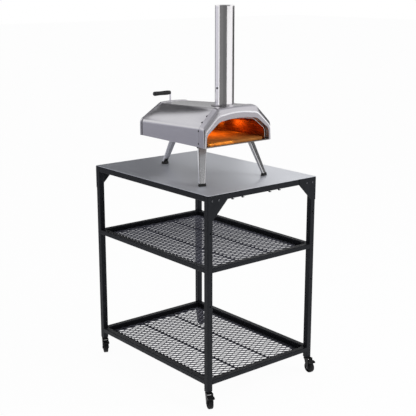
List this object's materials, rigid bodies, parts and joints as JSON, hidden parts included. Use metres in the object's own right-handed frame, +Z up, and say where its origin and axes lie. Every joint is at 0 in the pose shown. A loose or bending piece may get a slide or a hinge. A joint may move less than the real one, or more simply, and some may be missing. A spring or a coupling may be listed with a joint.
{
  "type": "outdoor pizza oven table",
  "caption": "Wheeled black steel table with a grey worktop and two mesh shelves, carrying a folded stainless pizza oven on splayed legs with a tall chimney.",
  "frame": {"origin": "on the floor, in the middle of the whole object's box, 18 mm in front of the table's centre", "axes": "+Z up, -Y to the oven's mouth, +X to the right as seen from the front"},
  "size_m": [0.6209, 0.8391, 1.62],
  "materials": {
    "frame_black": "fine satin powder coat over steel",
    "worktop_grey": "brushed stainless sheet",
    "mesh_black": "powder coated expanded steel",
    "zinc": "zinc plated",
    "caster_black": "black pressed steel",
    "wheel_rubber": "matte black tread",
    "oven_steel": "brushed stainless steel",
    "liner_steel": "heat darkened stainless steel",
    "dark_steel": "dark plated steel",
    "stone": "pale cordierite stone",
    "grip_black": "matte black grip",
    "foot_rubber": "matte black rubber"
  },
  "bodies": {
    "table": {"leg_front_left": "frame_black", "corner_plate_front_left": "frame_black", "leg_front_right": "frame_black", "corner_plate_front_right": "frame_black", "leg_back_left": "frame_black", "corner_plate_back_left": "frame_black", "leg_back_right": "frame_black", "corner_plate_back_right": "frame_black", "top_rail_front": "frame_black", "top_rail_back": "frame_black", "top_rail_left": "frame_black", "top_rail_right": "frame_black", "mid_rail_front": "frame_black", "mid_rail_back": "frame_black", "mid_rail_left": "frame_black", "mid_rail_right": "frame_black", "low_rail_front": "frame_black", "low_rail_back": "frame_black", "low_rail_left": "frame_black", "low_rail_right": "frame_black", "mid_shelf_bars": "frame_black", "mid_shelf_mesh": "mesh_black", "low_shelf_bars": "frame_black", "low_shelf_mesh": "mesh_black", "corner_screws": "zinc", "tool_hooks": "zinc", "worktop": "worktop_grey", "caster_stems": "zinc"},
    "caster_front_left": {"fork_front_left": "caster_black", "axle_front_left": "zinc"},
    "wheel_front_left": {"wheel_front_left": "wheel_rubber"},
    "brake_front_left": {"brake_pedal_front_left": "caster_black"},
    "caster_front_right": {"fork_front_right": "caster_black", "axle_front_right": "zinc"},
    "wheel_front_right": {"wheel_front_right": "wheel_rubber"},
    "brake_front_right": {"brake_pedal_front_right": "caster_black"},
    "caster_back_left": {"fork_back_left": "caster_black", "axle_back_left": "zinc"},
    "wheel_back_left": {"wheel_back_left": "wheel_rubber"},
    "brake_back_left": {"brake_pedal_back_left": "caster_black"},
    "caster_back_right": {"fork_back_right": "caster_black", "axle_back_right": "zinc"},
    "wheel_back_right": {"wheel_back_right": "wheel_rubber"},
    "brake_back_right": {"brake_pedal_back_right": "caster_black"},
    "oven": {"oven_shell": "oven_steel", "oven_surround": "oven_steel", "oven_liner": "liner_steel", "oven_floor": "liner_steel", "baking_stone": "stone", "fuel_box": "oven_steel", "oven_leg_front_left": "oven_steel", "oven_leg_front_right": "oven_steel", "oven_leg_back": "oven_steel", "oven_feet": "foot_rubber", "oven_leg_pins": "dark_steel"},
    "chimney": {"chimney": "oven_steel"},
    "baffle": {"chimney_baffle": "dark_steel"},
    "hatch": {"hatch_lid": "oven_steel", "hatch_grip": "grip_black"},
    "fuel_tray": {"fuel_tray": "oven_steel"}
  },
  "joints": [
    {"name": "swivel_front_left", "type": "hinge", "parent": "table", "child": "caster_front_left", "pos_m": [-0.2875, -0.3695, 0.062], "axis": [0, 0, 1], "continuous": true},
    {"name": "roll_front_left", "type": "hinge", "parent": "caster_front_left", "child": "wheel_front_left", "pos_m": [-0.29499, -0.38804, 0.025], "axis": [0.9272, -0.3746, 0], "continuous": true},
    {"name": "brake_front_left", "type": "hinge", "parent": "caster_front_left", "child": "brake_front_left", "pos_m": [-0.29537, -0.38897, 0.057], "axis": [-0.9272, 0.3746, 0], "range_deg": [0, 20]},
    {"name": "swivel_front_right", "type": "hinge", "parent": "table", "child": "caster_front_right", "pos_m": [0.2875, -0.3695, 0.062], "axis": [0, 0, 1], "continuous": true},
    {"name": "roll_front_right", "type": "hinge", "parent": "caster_front_right", "child": "wheel_front_right", "pos_m": [0.28576, -0.38942, 0.025], "axis": [0.9962, -0.0872, 0], "continuous": true},
    {"name": "brake_front_right", "type": "hinge", "parent": "caster_front_right", "child": "brake_front_right", "pos_m": [0.28567, -0.39042, 0.057], "axis": [-0.9962, 0.0872, 0], "range_deg": [0, 20]},
    {"name": "swivel_back_left", "type": "hinge", "parent": "table", "child": "caster_back_left", "pos_m": [-0.2875, 0.4055, 0.062], "axis": [0, 0, 1], "continuous": true},
    {"name": "roll_back_left", "type": "hinge", "parent": "caster_back_left", "child": "wheel_back_left", "pos_m": [-0.29595, 0.38737, 0.025], "axis": [0.9063, -0.4226, 0], "continuous": true},
    {"name": "brake_back_left", "type": "hinge", "parent": "caster_back_left", "child": "brake_back_left", "pos_m": [-0.29637, 0.38647, 0.057], "axis": [-0.9063, 0.4226, 0], "range_deg": [0, 20]},
    {"name": "swivel_back_right", "type": "hinge", "parent": "table", "child": "caster_back_right", "pos_m": [0.2875, 0.4055, 0.062], "axis": [0, 0, 1], "continuous": true},
    {"name": "roll_back_right", "type": "hinge", "parent": "caster_back_right", "child": "wheel_back_right", "pos_m": [0.28334, 0.38594, 0.025], "axis": [0.9781, -0.2079, 0], "continuous": true},
    {"name": "brake_back_right", "type": "hinge", "parent": "caster_back_right", "child": "brake_back_right", "pos_m": [0.28313, 0.38496, 0.057], "axis": [-0.9781, 0.2079, 0], "range_deg": [0, 20]},
    {"name": "oven_lift", "type": "slide", "parent": "table", "child": "oven", "axis": [0, 0, 1], "range_m": [0, 0.1]},
    {"name": "chimney_lift", "type": "slide", "parent": "oven", "child": "chimney", "axis": [0, 0, 1], "range_m": [0, 0.06]},
    {"name": "baffle_turn", "type": "hinge", "parent": "chimney", "child": "baffle", "pos_m": [-0.032, -0.165, 1.285], "axis": [1, 0, 0], "range_deg": [0, 90]},
    {"name": "hatch_lift", "type": "slide", "parent": "oven", "child": "hatch", "axis": [0, 0, 1], "range_m": [0, 0.06]},
    {"name": "fuel_tray_slide", "type": "slide", "parent": "oven", "child": "fuel_tray", "axis": [0, 1, 0], "range_m": [0, 0.07]}
  ]
}
